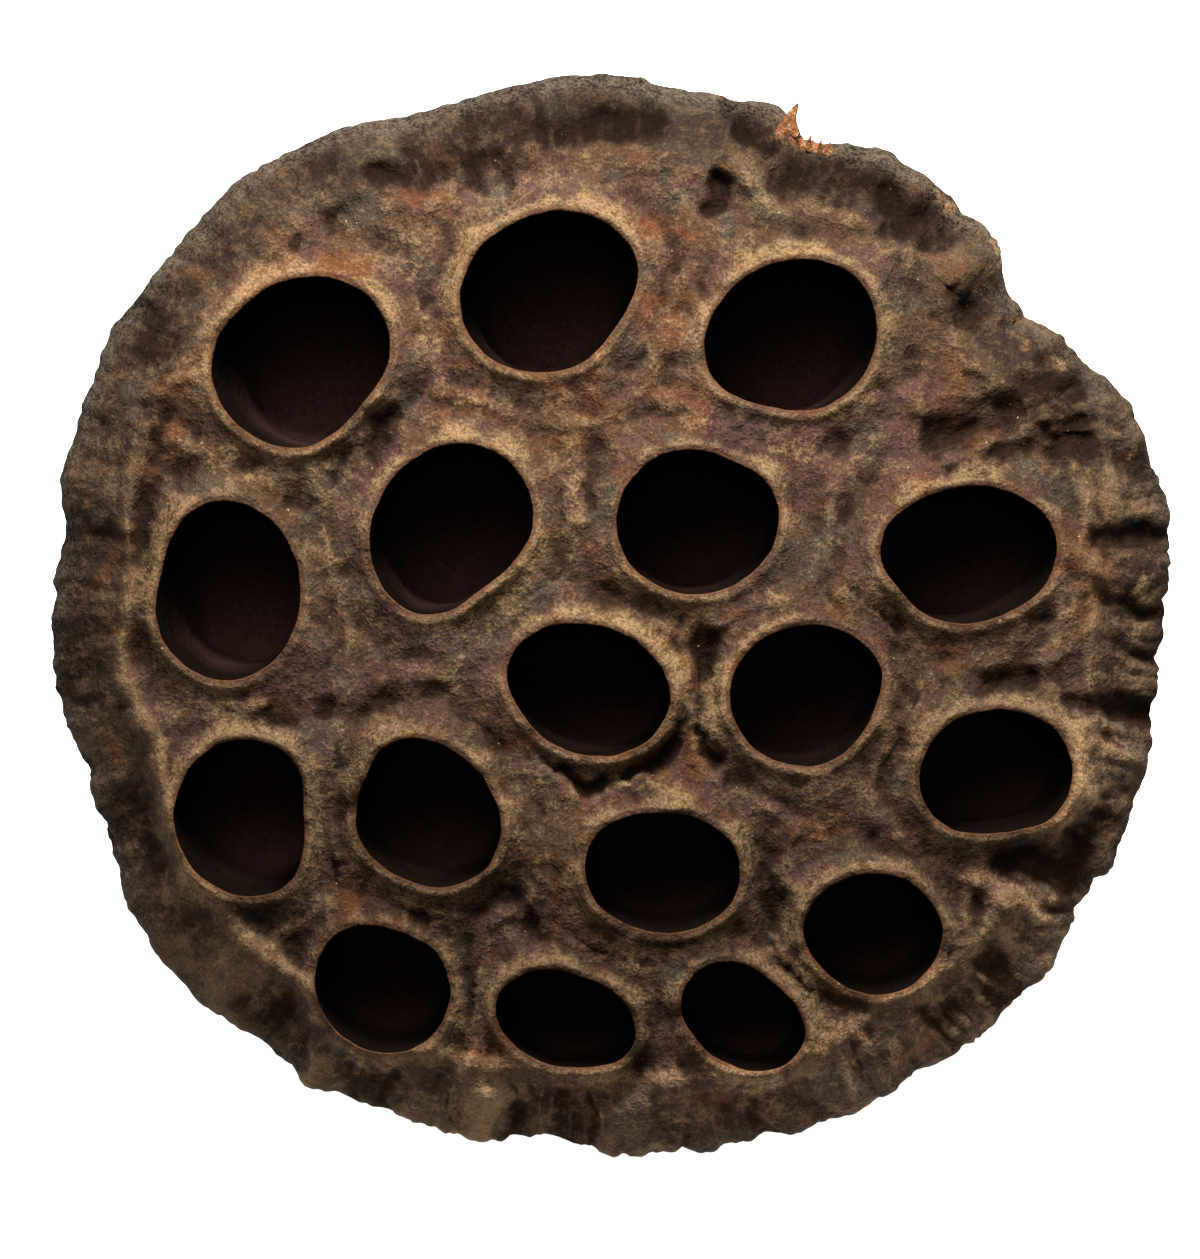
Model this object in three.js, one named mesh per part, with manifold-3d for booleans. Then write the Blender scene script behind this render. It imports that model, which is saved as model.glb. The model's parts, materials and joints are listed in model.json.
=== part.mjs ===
// A dried lotus pod: the woody seed head of a lotus, empty of its seeds and cut off flush at the
// stem, standing face up on the cut. It grew as one piece, so it is one solid.
// Millimetres, +Z up. The origin is on the surface it stands on, under the middle of its outline.

import * as THREE from 'three';
import { mergeVertices } from 'three/addons/utils/BufferGeometryUtils.js';
import Module from 'manifold-3d';

// ---- The pod's body ----

const podHeight = 58;
const cutEndRadius = 10.5;

// The rim isn't round: its reach from the middle, every 15 degrees from +X towards +Y.
const rimReach = [
  47.5, 48, 45.5, 45.5, 46, 45.5, 46.5, 46, 48, 49, 49, 48.5,
  48, 46.5, 48, 48, 47.5, 46, 46, 46.5, 47.5, 48, 47, 47.5,
];
const meanRimRadius = 47;

// The face is a shallow dome out to the shoulder, where it rolls over to the rim.
const domeDrop = 3;
const shoulderRadius = 40;
const rollPerSquareMillimetre = 0.09;
const faceRings = [46, 44, 41.5, 37, 28, 15, 0];

// The underside swells from the cut end out to the rim: [radius, height].
const underside = [
  [0, 0], [cutEndRadius, 0], [12, 3.5], [16, 9], [22.5, 16], [29.5, 23.5],
  [36, 31.5], [41.2, 39], [45, 46],
];
const bodySegments = 48;

// ---- The seed holes ----

// Each mouth is an ellipse, long by short and turned, with one side flattened: cut is how far the
// flat is in from the ellipse, and flat is the way it faces. Angles are in degrees from +X.
const seedHoles = [
  { x: -26, y: 21.5, long: 15.5, short: 14, turn: 45, flat: 320, cut: 1 },
  { x: -5, y: 27.5, long: 16, short: 13.5, turn: 20, flat: 330, cut: 1 },
  { x: 15.5, y: 23.5, long: 15.5, short: 13, turn: 30, flat: 255, cut: 1 },
  { x: -33, y: 2, long: 15.5, short: 13, turn: 95, flat: 165, cut: 1 },
  { x: -13.5, y: 7, long: 15.5, short: 13.5, turn: 60, flat: 310, cut: 1.5 },
  { x: 7.5, y: 8, long: 14, short: 12.5, turn: 10, flat: 70, cut: 0.5 },
  { x: 30.5, y: 5, long: 16, short: 11.5, turn: 10, flat: 220, cut: 1 },
  { x: -2, y: -6.5, long: 14.5, short: 11, turn: 165, flat: 215, cut: 0.5 },
  { x: 17, y: -7, long: 13.5, short: 12, turn: 5, flat: 330, cut: 1 },
  { x: -31, y: -17.5, long: 13.5, short: 12.5, turn: 105, flat: 0, cut: 1.5 },
  { x: -16, y: -17, long: 14.5, short: 11.5, turn: 140, flat: 160, cut: 1.5 },
  { x: 4.5, y: -22, long: 13.5, short: 10.5, turn: 175, flat: 90, cut: 0 },
  { x: 33, y: -14, long: 13, short: 11.5, turn: 5, flat: 275, cut: 1 },
  { x: 22.5, y: -27.5, long: 12, short: 10.5, turn: 0, flat: 230, cut: 0.5 },
  { x: -19.5, y: -32, long: 12, short: 11, turn: 140, flat: 75, cut: 0.5 },
  { x: -3.5, y: -35, long: 12.5, short: 9, turn: 155, flat: 280, cut: 0.5 },
  { x: 11.5, y: -34.5, long: 11.5, short: 8.5, turn: 150, flat: 45, cut: 0.5 },
];
const flatCornerSharpness = 10;

// The chambers are shallower towards the rim, and lean in so that they meet under the middle.
const middleChamberDepth = 20;
const rimChamberDepth = 15;
const leanAtRim = 0.16;
const outerHoleDistance = 37;

// A chamber from its closed end up through its mouth: [share of the mouth, share of the depth].
const chamber = [[0, -1], [0.5, -0.96], [0.78, -0.78], [0.93, -0.4], [1, 0]];
const mouthClearance = 4;
const chamberSegments = 20;

// A low lip stands round each mouth: its section's [reach out from the mouth, height on the face].
const lip = [[1.4, -3], [2.3, -0.5], [0.9, 0.7], [0.1, 0.9]];
const lipSegments = 16;

// ---- Shapes ----

const wasm = await Module();
wasm.setup();

function rimRadiusAt(angle) {
  const count = rimReach.length;
  const turns = angle / (2 * Math.PI);
  const place = (turns - Math.floor(turns)) * count;
  const first = Math.floor(place);
  const [a, b, c, d] = [-1, 0, 1, 2].map((step) => rimReach[(first + step + count) % count]);
  const t = place - first;
  const bend = (2 * a - 5 * b + 4 * c - d) * t * t + (3 * b - a - 3 * c + d) * t * t * t;
  return b + 0.5 * ((c - a) * t + bend);
}

function stretchAt(angle, radius) {
  const share = Math.min(Math.max((radius - cutEndRadius) / (meanRimRadius - cutEndRadius), 0), 1);
  return 1 + (rimRadiusAt(angle) / meanRimRadius - 1) * share;
}

function faceHeight(radius) {
  const pastShoulder = Math.max(radius - shoulderRadius, 0);
  return podHeight - domeDrop * (radius / shoulderRadius) ** 2
    - rollPerSquareMillimetre * pastShoulder ** 2;
}

function faceHeightAt(x, y) {
  const radius = Math.hypot(x, y);
  return faceHeight(radius / stretchAt(Math.atan2(y, x), radius));
}

function mouthRadiusAt(hole, angle) {
  const halfLong = hole.long / 2;
  const halfShort = hole.short / 2;
  const turn = THREE.MathUtils.degToRad(hole.turn);
  const flat = THREE.MathUtils.degToRad(hole.flat);
  const round = 1 / Math.hypot(Math.cos(angle - turn) / halfLong, Math.sin(angle - turn) / halfShort);
  const ellipseEdge = Math.hypot(Math.cos(flat - turn) * halfLong, Math.sin(flat - turn) * halfShort);
  const facing = Math.cos(angle - flat);
  if (facing < 0.2) {
    return round;
  }
  const straight = (ellipseEdge - hole.cut) / facing;
  const power = flatCornerSharpness;
  return (round ** -power + straight ** -power) ** (-1 / power);
}

function solidFrom(geometry) {
  geometry.deleteAttribute('normal');
  geometry.deleteAttribute('uv');
  const merged = mergeVertices(geometry);
  const corners = merged.index.array;
  const triangles = [];
  for (let i = 0; i < corners.length; i += 3) {
    const [a, b, c] = corners.slice(i, i + 3);
    if (a !== b && b !== c && c !== a) {
      triangles.push(a, b, c);
    }
  }
  const mesh = new wasm.Mesh({
    numProp: 3,
    vertProperties: new Float32Array(merged.attributes.position.array),
    triVerts: new Uint32Array(triangles),
  });
  return new wasm.Manifold(mesh);
}

// A lathed solid about +Z whose every point is then moved by place(point).
function lathedSolid(profile, segments, place) {
  const points = profile.map(([radius, height]) => new THREE.Vector2(radius, height));
  const geometry = new THREE.LatheGeometry(points, segments);
  geometry.rotateX(Math.PI / 2);
  const position = geometry.attributes.position;
  const point = new THREE.Vector3();
  for (let i = 0; i < position.count; i += 1) {
    point.fromBufferAttribute(position, i);
    place(point);
    position.setXYZ(i, point.x, point.y, point.z);
  }
  return solidFrom(geometry);
}

function makeBody() {
  const face = faceRings.map((radius) => [radius, faceHeight(radius)]);
  const rim = [meanRimRadius, faceHeight(meanRimRadius)];
  return lathedSolid([...underside, rim, ...face], bodySegments, (point) => {
    const stretch = stretchAt(Math.atan2(point.y, point.x), Math.hypot(point.x, point.y));
    point.x *= stretch;
    point.y *= stretch;
  });
}

function makeLip(hole) {
  const profile = [[0, lip[0][1]], ...lip.map(([reach, height]) => [1 + reach, height]), [0, lip.at(-1)[1]]];
  return lathedSolid(profile, lipSegments, (point) => {
    const angle = Math.atan2(point.y, point.x);
    const out = Math.hypot(point.x, point.y);
    const reach = Math.min(out, 1) * mouthRadiusAt(hole, angle) + Math.max(out - 1, 0);
    point.x = hole.x + reach * Math.cos(angle);
    point.y = hole.y + reach * Math.sin(angle);
    point.z += faceHeightAt(point.x, point.y);
  });
}

function makeChamber(hole) {
  const distance = Math.hypot(hole.x, hole.y);
  const towardsRim = distance / outerHoleDistance;
  const depth = THREE.MathUtils.lerp(middleChamberDepth, rimChamberDepth, towardsRim);
  const lean = (leanAtRim * towardsRim) / Math.max(distance, 1);
  const mouthHeight = faceHeightAt(hole.x, hole.y);
  const walls = chamber.map(([share, level]) => [share, level * depth]);
  const profile = [...walls, [1, mouthClearance], [0, mouthClearance]];
  return lathedSolid(profile, chamberSegments, (point) => {
    const angle = Math.atan2(point.y, point.x);
    const reach = Math.hypot(point.x, point.y) * mouthRadiusAt(hole, angle);
    const below = Math.max(-point.z, 0);
    point.x = hole.x * (1 - lean * below) + reach * Math.cos(angle);
    point.y = hole.y * (1 - lean * below) + reach * Math.sin(angle);
    point.z += mouthHeight;
  });
}

function makePod() {
  let solid = makeBody();
  for (const hole of seedHoles) {
    solid = solid.add(makeLip(hole));
  }
  for (const hole of seedHoles) {
    solid = solid.subtract(makeChamber(hole));
  }
  return solid;
}

// ---- Scene graph ----

function meshOf(name, solid, material) {
  const { vertProperties, triVerts } = solid.getMesh();
  const geometry = new THREE.BufferGeometry();
  geometry.setAttribute('position', new THREE.BufferAttribute(vertProperties, 3));
  geometry.setIndex(new THREE.BufferAttribute(triVerts, 1));
  geometry.computeVertexNormals();
  geometry.computeBoundingBox();
  const middle = geometry.boundingBox.getCenter(new THREE.Vector3());
  geometry.translate(-middle.x, -middle.y, 0);
  const mesh = new THREE.Mesh(geometry, material);
  mesh.name = name;
  return mesh;
}

const driedPod = new THREE.MeshStandardMaterial({ color: 0x5c4636, roughness: 0.9, metalness: 0 });

const lotusPod = new THREE.Group();
lotusPod.name = 'dried_lotus_pod';
lotusPod.add(meshOf('lotus_pod', makePod(), driedPod));

export default lotusPod;
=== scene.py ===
"""A dried lotus pod, grown over the plain solid that holds its size and its seed holes.

It is laid out as an add-on and is run as a script. Lengths in the property groups are in metres;
the mesh is worked out in millimetres and brought down to metres at the end.
"""

import json
import math

import bpy
import numpy as np
from bpy.props import FloatProperty, FloatVectorProperty, IntProperty, PointerProperty
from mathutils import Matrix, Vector, geometry, noise
from mathutils.bvhtree import BVHTree


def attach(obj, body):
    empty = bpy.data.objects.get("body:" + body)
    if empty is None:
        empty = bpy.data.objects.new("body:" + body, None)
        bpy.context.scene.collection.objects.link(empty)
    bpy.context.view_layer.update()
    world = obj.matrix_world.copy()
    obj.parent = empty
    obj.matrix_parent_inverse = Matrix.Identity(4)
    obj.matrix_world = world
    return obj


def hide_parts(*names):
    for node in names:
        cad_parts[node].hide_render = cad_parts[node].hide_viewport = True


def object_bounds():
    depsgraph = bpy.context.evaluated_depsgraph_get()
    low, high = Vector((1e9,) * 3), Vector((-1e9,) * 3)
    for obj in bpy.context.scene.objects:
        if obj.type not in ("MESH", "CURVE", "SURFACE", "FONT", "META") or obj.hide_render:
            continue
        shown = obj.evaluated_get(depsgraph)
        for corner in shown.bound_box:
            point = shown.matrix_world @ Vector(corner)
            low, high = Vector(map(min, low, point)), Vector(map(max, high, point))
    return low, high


bl_info = {
    "name": "Dried Lotus Pod",
    "version": (1, 0, 0),
    "blender": (4, 5, 0),
    "location": "3D View > Sidebar > Lotus Pod",
    "description": "Grows a dried lotus pod with its seed holes, wrinkles and frayed rim",
    "category": "Add Mesh",
}

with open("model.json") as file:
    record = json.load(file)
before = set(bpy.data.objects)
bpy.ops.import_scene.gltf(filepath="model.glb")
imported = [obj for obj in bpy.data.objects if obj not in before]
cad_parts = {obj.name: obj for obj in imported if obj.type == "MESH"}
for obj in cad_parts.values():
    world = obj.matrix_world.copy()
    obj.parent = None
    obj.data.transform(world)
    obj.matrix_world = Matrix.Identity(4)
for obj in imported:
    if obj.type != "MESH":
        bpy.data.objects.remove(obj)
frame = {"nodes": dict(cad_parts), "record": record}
CAD_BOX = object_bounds()

MM = 0.001
POD_NODE = "lotus_pod"
MAP_NAME = "OFBake"
FULL_TURN = 2 * math.pi

# The rim's mean reach from the pod's axis.
MEAN_RIM = 47.0

# How the surface is divided, in points round or millimetres between points.
RIM_POINTS = 900
MOUTH_POINTS = 120
FACE_SPACING = 0.37

# The stage, in metres: how far the floor reaches and its level, the lamps' places and sizes, and how
# far below the pod's top the camera's middle distance is.
FLOOR_REACH = 1.5
FLOOR_LEVEL = -0.05 * MM
KEY_PLACE, KEY_SIZE = (0.02, 0.22, 0.215), 0.085
FILL_PLACE, FILL_SIZE = (-0.06, 0.25, 0.42), 0.30
SKY_STRENGTH = 0.16
FOCUS_DROP = 3 * MM
CLIP_START = 0.01


# ---- What a user would change ----


def length(name, text, millimetres):
    """A length property, given in millimetres and kept in metres."""
    return FloatProperty(
        name=name, description=text, default=millimetres * MM, unit="LENGTH", subtype="DISTANCE", precision=5
    )


def colour(name, text, red, green, blue):
    """A colour property, given as linear red, green and blue."""
    return FloatVectorProperty(
        name=name, description=text, default=(red, green, blue), subtype="COLOR", size=3, min=0, max=1
    )


class PodShape(bpy.types.PropertyGroup):
    """The relief that the growing and drying leave on the pod."""

    lip_height: length("Lip height", "How far a seed hole's lip stands above the face", 1.25)
    lip_spread: length("Lip spread", "How far out a lip takes to fall away", 1.9)
    lip_crest: length("Lip crest", "How far out from the mouth's edge the lip's bead is", 0.56)
    undercut: length("Undercut", "How much wider a chamber gets just below its mouth", 0.5)
    swell: length("Swell", "Height of the broad, soft unevenness of the face", 0.9)
    wrinkle: length("Wrinkle", "Height of the shrunken skin's wrinkles on the face", 0.6)
    fold: length("Rim fold", "Height of the big folds that run out over the rim", 1.3)
    rib: length("Rim rib", "Height of the ribs that run out over the rim", 0.85)
    vein: length("Vein", "Height of the veins that run down to the stem", 0.9)
    seed: IntProperty(name="Seed", description="Another number grows other wrinkles", default=3)


class PodColours(bpy.types.PropertyGroup):
    """The colours of the dried skin, from its tan ridges to its blackened rim."""

    skin: colour("Skin", "Most of the face", 0.055, 0.0295, 0.0168)
    ridge: colour("Ridges", "Worn ridges between the holes", 0.170, 0.104, 0.050)
    lip: colour("Lips", "The lips of the seed holes", 0.174, 0.105, 0.051)
    # Besides a few dark spots of the skin's own, this colour is painted shade: the material lays it in
    # creases, valleys, grooves, the troughs of the rim's folds, the underside's creases, the chambers' upper
    # walls and the stem's canals.
    painted_shade_and_spots: colour("Hollows", "Creases and the valleys between the holes", 0.0110, 0.0056, 0.0032)
    blush: colour("Blush", "Pink-brown patches", 0.064, 0.0320, 0.0245)
    rust: colour("Rust", "Red-brown patches", 0.086, 0.0340, 0.0145)
    rim: colour("Rim", "The blackened rim", 0.0270, 0.0165, 0.0108)
    bloom: colour("Bloom", "Grey-green bloom in the hollows and on the rim", 0.042, 0.0330, 0.0220)
    torn: colour("Torn edge", "Fresh fibres where the rim has torn", 0.150, 0.055, 0.017)
    chamber: colour("Chamber", "The lining of the seed chambers", 0.0740, 0.0330, 0.0265)
    back: colour("Back", "The underside", 0.088, 0.052, 0.029)
    pith: colour("Pith", "The cut end of the stem", 0.36, 0.26, 0.155)


class StageLook(bpy.types.PropertyGroup):
    """The floor, the lamps and the camera."""

    floor: colour("Floor", "The pale floor", 0.90, 0.90, 0.90)
    glow: FloatProperty(name="Floor glow", description="Light that the floor gives off", default=1.0, min=0)
    key_power: FloatProperty(
        name="Key power", description="The soft light above the top of the face", default=2.45, unit="POWER"
    )
    fill_power: FloatProperty(
        name="Fill power", description="The wide, weak light overhead", default=1.15, unit="POWER"
    )
    lens: FloatProperty(
        name="Lens", description="Focal length", default=0.260, unit="LENGTH", subtype="DISTANCE"
    )
    view_width: length("View width", "What the view spans across the middle of the face", 102.4)
    aim_right: length("Aim right", "How far the view's middle is to the right of the pod's", -0.6)
    aim_up: length("Aim up", "How far the view's middle is above the pod's", -1.6)


# ---- Numbers and noise ----


def ease(value, low, high):
    """0 below low, 1 above high, and a smooth step between them."""
    t = np.clip((value - low) / (high - low), 0, 1)
    return t * t * (3 - 2 * t)


def slow_part(values, keep):
    """A closed run of numbers with its quick swings, past about keep a turn, faded out."""
    waves = np.fft.rfft(values)
    waves *= np.exp(-((np.arange(len(waves)) / keep) ** 2))
    return np.fft.irfft(waves, len(values))


def round_run(values, angles):
    """A closed run of numbers, spaced evenly round a turn from angle 0, read at any angles."""
    places = np.arange(len(values) + 1) * FULL_TURN / len(values)
    return np.interp(np.mod(angles, FULL_TURN), places, np.append(values, values[0]))


def side_share(angles, pairs):
    """A share read from pairs of degrees and values, blended evenly round the turn."""
    places, values = zip(*pairs, (pairs[0][0] + 360, pairs[0][1]))
    return np.interp(np.mod(np.degrees(angles), 360), places, values)


def pushes(angles, trims):
    """The sum of soft pushes at angles, each given by its middle and half width in degrees."""
    total = 0.0
    for middle, half, push in trims:
        away = np.degrees(np.angle(np.exp(1j * (angles - math.radians(middle)))))
        total = total + push * np.exp(-((away / half) ** 2))
    return total


def turned(reach, angles, height):
    """Points at a reach from the axis, at angles round it and at a height."""
    return np.column_stack([reach * np.cos(angles), reach * np.sin(angles), height + 0 * angles])


def noise_at(points, size, seed, octaves=1):
    """Smooth noise of about -1 to 1, with swells about size across. size may differ by axis."""
    moved = np.asarray(points) / size + np.array([17.3, -9.1, 5.7]) * (seed + 1.37)
    if octaves == 1:
        return np.array([noise.noise(p) for p in moved.tolist()])
    return np.array([noise.fractal(p, 0.8, 2.0, octaves) for p in moved.tolist()])


# ---- Reading the solid ----


def solid_tree():
    """The plain solid as something that rays can be cast at."""
    mesh = frame["nodes"][POD_NODE].data
    return BVHTree.FromPolygons([v.co for v in mesh.vertices], [p.vertices for p in mesh.polygons])


def cast(tree, start, direction):
    """How far it is from start to the solid along direction, in millimetres."""
    distance = tree.ray_cast(Vector(start) * MM, Vector(direction))[3]
    if distance is None:
        raise RuntimeError(f"no surface was met from {start}")
    return distance / MM


def outer_reach(tree, height, angles):
    """The solid's reach from its axis at one height, at each angle."""
    outside = 100
    found = []
    for angle in angles:
        way = (math.cos(angle), math.sin(angle))
        start = (outside * way[0], outside * way[1], height)
        found.append(outside - cast(tree, start, (-way[0], -way[1], 0)))
    return np.array(found)


class Mouth:
    """A seed hole, as the solid has it: its mouth's outline, its deep outline and its floor."""

    above_face = 1.0
    # The solid's mouths are read a little below their edge, where they are this much narrower.
    narrowing = 0.978
    # How far below its edge the mouth is read, how far above its floor the chamber is, and how many
    # swings a turn are kept of each outline.
    read_below, read_above = 1.2, 0.3
    mouth_detail, deep_detail = 9, 7
    # Outlines that the drying bent: the middle and half width in degrees, and the push outwards.
    trims = {
        0: ((170, 40, 0.8),),
        12: ((20, 30, 0.3),),
        15: ((90, 60, -0.55), (270, 60, -0.55), (180, 30, 0.45)),
    }

    def __init__(self, tree, opening, shape, number):
        low, high = (np.array(corner) / MM for corner in opening["box_m"])
        self.x, self.y = (low[:2] + high[:2]) / 2
        self.number = number
        self.height = high[2] - self.above_face
        self.low = low[2]
        self.angles = np.arange(MOUTH_POINTS) * FULL_TURN / MOUTH_POINTS
        self.reach = self.outline(tree, self.height - self.read_below, self.mouth_detail) / self.narrowing
        self.reach += pushes(self.angles, self.trims.get(number, ()))
        self.deep_reach = self.outline(tree, self.low + self.read_above, self.deep_detail)
        self.floor = self.low - cast(tree, (self.x, self.y, self.low), (0, 0, -1))
        ring = turned(self.reach, self.angles, 0)
        self.reach = self.reach + 0.12 * noise_at(ring, 2.6, shape.seed + number, 2)

    def outline(self, tree, height, keep):
        """The chamber's reach from its middle at one height, at every angle."""
        start = (self.x, self.y, height)
        found = [cast(tree, start, (math.cos(a), math.sin(a), 0)) for a in self.angles]
        return slow_part(np.array(found), keep)

    def from_edge(self, x, y):
        """How far points are outside the mouth's edge."""
        angle = np.arctan2(y - self.y, x - self.x)
        away = np.hypot(x - self.x, y - self.y)
        reach = round_run(self.reach, angle)
        slope = round_run(np.gradient(self.reach, self.angles[1]), angle)
        return (away - reach) / np.hypot(1, slope / reach)

    def ring(self, out):
        """The points of the outline moved out square to itself."""
        edge = turned(self.reach, self.angles, 0)[:, :2]
        along = np.roll(edge, -1, axis=0) - np.roll(edge, 1, axis=0)
        along /= np.linalg.norm(along, axis=1)[:, None]
        return edge + [self.x, self.y] + out * along[:, ::-1] * [1, -1]


# Bulges and notches that the drying left in the rim: the middle in degrees from +X towards +Y, the
# half width in degrees and the push outwards in millimetres.
RIM_TRIMS = (
    (10, 7, 0.5), (22, 5, 0.7), (36, 5, -1.6), (43, 7, -0.7), (52, 6, 0.4), (61, 3, -0.5),
    (66.8, 3.2, -1.7), (72, 2.5, 0.3), (81, 6, -1.0), (112, 6, -0.9), (140, 9, -0.4),
    (162, 9, -0.6), (175, 4, -0.8), (187, 5, 1.1), (196, 3, -0.5), (232, 8, -0.5),
    (289, 10, 0.45), (304, 10, -0.6), (316, 6, 0.7), (336, 6, 1.4),
)

# Runs of small knobs along the rim: first and last degrees, degrees a knob, and height in millimetres.
RIM_KNOBS = (
    (27, 63, 6.9, 0.55), (27, 63, 2.3, 0.14), (72, 101, 4.2, 0.22), (84, 101, 2.1, 0.2),
    (106, 132, 5.3, 0.2), (164, 205, 3.7, 0.25), (284, 350, 3.4, 0.32),
)

# Broken places on the rim: x and y of the middle, how far they spread, in millimetres, and how
# fresh they are, from 0 for pale and weathered to 1 for orange fibres.
BREAKS = (
    (15.3, 41.4, 0.85, 0.9), (16.6, 40.6, 0.8, 1.0), (17.8, 40.1, 0.6, 0.9),
    (18.9, 39.9, 0.5, 0.6), (28.8, 35.6, 0.5, 0.1), (29.5, 34.8, 0.42, 0.15),
    (32.7, 30.8, 0.5, 0.0), (33.2, 29.9, 0.5, 0.1), (35.3, 25.1, 0.4, 0.2),
    (36.0, 22.8, 0.4, 0.2), (39.1, 21.4, 0.55, 0.0), (44.9, 13.4, 0.4, 0.3),
)

# Splinters that stand out of the broken rim: x and y of the foot and of the tip, width and the
# height of the foot above the rim's widest level, in millimetres.
SPLINTERS = (
    (15.7, 40.9, 16.5, 43.7, 1.9, 1.0), (17.3, 39.6, 17.6, 41.0, 0.6, 1.2),
    (18.3, 39.3, 18.5, 40.7, 0.5, 0.9), (14.6, 41.0, 14.9, 42.9, 0.6, 0.5),
    (19.0, 39.0, 19.3, 40.5, 0.6, 0.8),
)

# Single folds of the face, as x and y of both ends, half width and height, all in millimetres.
# Grooves have a height below 0.
FACE_FORMS = (
    (-19.5, 37.4, -9.2, 38.2, 1.7, -1.2), (-24.0, 34.0, -19.5, 36.2, 1.4, -0.7),
    (-6.0, 40.5, 3.5, 42.0, 1.6, -0.9), (9.8, 37.1, 9.2, 35.4, 1.1, -1.3),
    (10.9, 42.8, 13.7, 38.6, 1.1, -1.2), (18.3, 37.4, 28.6, 33.0, 2.2, -1.6),
    (26.0, 28.5, 32.0, 24.5, 1.5, -0.8), (39.1, 19.2, 28.5, 15.3, 2.0, -1.5),
    (30.0, 11.5, 40.5, 16.5, 1.1, -1.0), (38.7, 14.5, 46.0, 12.7, 1.4, -1.3),
    (41.7, 5.5, 47.7, 6.3, 1.1, -1.1), (42.0, 1.0, 47.5, 0.2, 0.9, -0.7),
    (39.6, -8.0, 47.3, -8.8, 1.0, -1.4), (44.3, -15.0, 46.4, -14.6, 0.8, -1.0),
    (34.4, -21.6, 39.6, -22.1, 1.7, -1.3), (8.0, -2.4, 8.6, -12.0, 0.8, -1.1),
    (-5.7, -12.2, -1.5, -14.8, 0.5, -0.8), (-1.5, -14.8, 3.6, -13.5, 0.45, -0.9),
    (3.6, -13.5, 6.6, -10.6, 0.5, -0.9), (6.6, -10.6, 7.3, -5.0, 0.45, -0.6),
    (7.9, -9.6, 8.5, -9.5, 0.6, 0.7), (-42.1, 26.4, -37.8, 22.6, 2.2, -1.1),
    (-38.5, 17.0, -40.0, 5.0, 1.3, -0.8), (-18.5, 16.5, -22.5, 12.5, 1.6, -0.9),
    (-29.0, -9.5, -19.0, -7.5, 1.6, -0.6), (-9.5, -23.0, -6.0, -27.5, 1.7, -0.7),
    (13.0, -20.0, 15.0, -26.0, 1.6, -0.7), (41.0, 9.3, 40.8, 1.6, 1.1, 0.9),
    (40.8, 1.6, 37.4, -4.8, 1.0, 0.7), (37.4, -4.8, 40.8, -10.8, 1.2, 0.9),
    (40.8, -10.8, 40.5, -15.5, 1.2, 0.9), (31.4, -23.2, 30.2, -32.1, 1.0, 0.6),
    (21.5, 33.5, 27.0, 27.5, 1.6, 0.7), (-3.0, 15.5, -2.5, 8.0, 0.9, 0.5),
    (14.5, 33.5, 11.0, 38.5, 1.1, 0.6), (-35.0, 10.0, -24.0, 11.5, 1.3, 0.5),
)


class Solid:
    """Everything that the skin takes from the plain solid."""

    # How far the solid's lips stand above its face, and how far out the rim is filled.
    lip_on_solid = 0.9
    rim_fullness = 0.5
    # The face falls by the drop out to the shoulder and rolls off past it. Inside the neck it is
    # round, and from there out it takes on the outline's shape.
    dome_drop = 3.0
    shoulder = 40.0
    roll = 0.09
    neck = 10.5
    # The widest level is looked for this far below the top, in steps.
    search = (14, 4, 0.5)
    # Swings a turn that are kept of the solid's outline, of the trimmed one and of the underside.
    outline_detail, trimmed_detail, under_detail = 26, 130, 24

    def __init__(self, shape):
        self.tree = solid_tree()
        self.top = CAD_BOX[1].z / MM - self.lip_on_solid
        self.angles = np.arange(RIM_POINTS) * FULL_TURN / RIM_POINTS
        deepest, highest, step = self.search
        heights = np.arange(self.top - deepest, self.top - highest, step)
        means = [outer_reach(self.tree, h, self.angles[::60]).mean() for h in heights]
        self.rim_height = heights[int(np.argmax(means))]
        self.outline = slow_part(outer_reach(self.tree, self.rim_height, self.angles), self.outline_detail)
        self.outline += self.rim_fullness + pushes(self.angles, RIM_TRIMS) + self.knobs()
        self.outline = slow_part(self.outline, self.trimmed_detail)
        edge = turned(MEAN_RIM, self.angles, 0)
        self.outline += 0.16 * noise_at(edge, 1.7, shape.seed + 91, 3)
        openings = [o for o in frame["record"]["physics"]["openings"] if not o["name"].endswith("throat")]
        self.mouths = [Mouth(self.tree, o, shape, n) for n, o in enumerate(openings)]

    def knobs(self):
        """How far the runs of small knobs push the rim out."""
        degrees = np.degrees(self.angles)
        total = 0.0
        for first, last, each, height in RIM_KNOBS:
            window = ease(degrees, first, first + 4) * ease(-degrees, -last, 4 - last)
            turns = (degrees - first) / each + 0.12 * np.sin(degrees * 0.9) + 0.08 * np.sin(degrees * 2.3)
            total = total + height * window * (np.abs(np.sin(np.pi * turns)) - 0.6)
        return total

    def reach_at(self, height):
        """The underside's reach at a height, at every rim angle."""
        coarse = outer_reach(self.tree, height, self.angles[::4])
        return round_run(slow_part(coarse, self.under_detail), self.angles)

    def rim_reach(self, angle):
        """The rim's reach at any angle."""
        return round_run(self.outline, angle)

    def dome(self, x, y):
        """The height of the bare face, without lips or wrinkles."""
        radius = np.hypot(x, y)
        share = np.clip((radius - self.neck) / (MEAN_RIM - self.neck), 0, 1)
        stretch = 1 + (self.rim_reach(np.arctan2(y, x)) / MEAN_RIM - 1) * share
        radius = radius / stretch
        past = np.maximum(radius - self.shoulder, 0)
        return self.top - self.dome_drop * (radius / self.shoulder) ** 2 - self.roll * past**2


# ---- The skin as points, faces and map ----

FACE, SIDE, CHAMBER, CUT, SHRED = range(5)

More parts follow.
